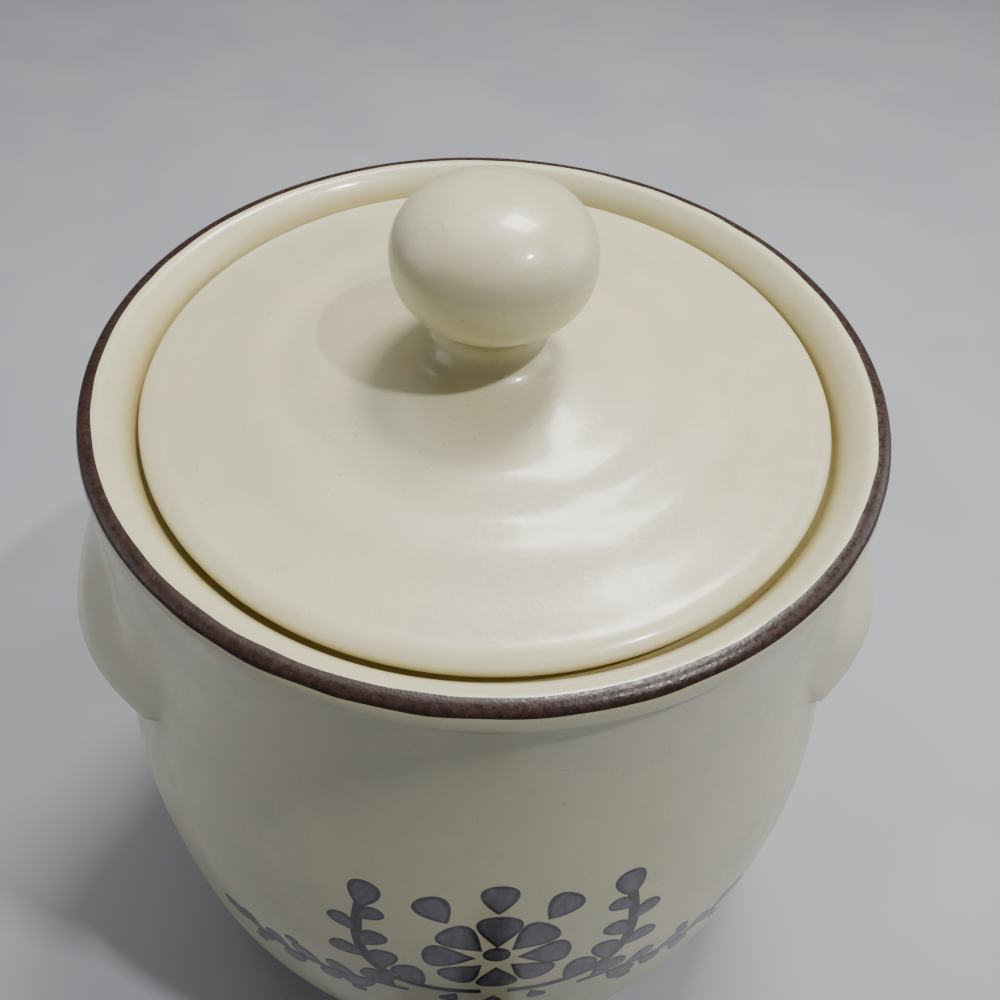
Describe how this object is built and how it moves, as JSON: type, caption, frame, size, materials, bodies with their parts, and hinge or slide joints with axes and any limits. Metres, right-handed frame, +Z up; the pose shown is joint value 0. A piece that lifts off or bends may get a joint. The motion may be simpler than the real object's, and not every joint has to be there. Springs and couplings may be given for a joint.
{
  "type": "beverage dispenser crock",
  "caption": "Bellied stoneware beverage crock with two ear-shaped lugs, a recessed lift-off lid with a bun knob, and a self-closing lever tap low on the front.",
  "frame": {"origin": "centre of the flat base, on the surface that it stands on", "axes": "+Z up along the crock's own axis, -Y to the front, where the tap is, and +X to the right for someone who faces the tap; the lugs lie on the X axis"},
  "size_m": [0.262, 0.2986, 0.3089],
  "materials": {
    "cream_glaze": "satin cream glaze",
    "dark_brown_plastic": "moulded, glossy",
    "black_rubber": "matt",
    "clear_grey_silicone": "satin silicone",
    "stainless_steel": "plain stainless",
    "white_nylon": "moulded nylon"
  },
  "bodies": {
    "crock": {"crock": "cream_glaze", "tap_body": "dark_brown_plastic", "outer_washer": "black_rubber", "inner_washer": "black_rubber", "slip_washer": "stainless_steel", "shank_nut": "white_nylon", "bonnet": "dark_brown_plastic", "bonnet_seal": "black_rubber", "stem_seal": "black_rubber", "gland_washer": "stainless_steel", "return_spring": "stainless_steel"},
    "lid": {"lid": "cream_glaze"},
    "valve": {"valve_stem": "white_nylon", "valve_cup": "clear_grey_silicone"},
    "lever": {"tap_lever": "dark_brown_plastic", "lever_pin": "stainless_steel"}
  },
  "joints": [
    {"name": "lid_lift", "type": "slide", "parent": "crock", "child": "lid", "axis": [0, 0, 1], "range_m": [0, 0.12]},
    {"name": "stem_lift", "type": "slide", "parent": "crock", "child": "valve", "axis": [0, 0, 1], "range_m": [0, 0.005], "deforming": ["return_spring"]},
    {"name": "lever_tilt", "type": "hinge", "parent": "valve", "child": "lever", "pos_m": [0, -0.15705, 0.0815], "axis": [1, 0, 0], "range_deg": [0, 50], "stiffness_Nm_per_rad": 0.03, "springref_deg": -55.58}
  ],
  "couplings": [
    {"joint": "stem_lift", "follows": "lever_tilt", "m_per_rad": 0.0057295}
  ]
}
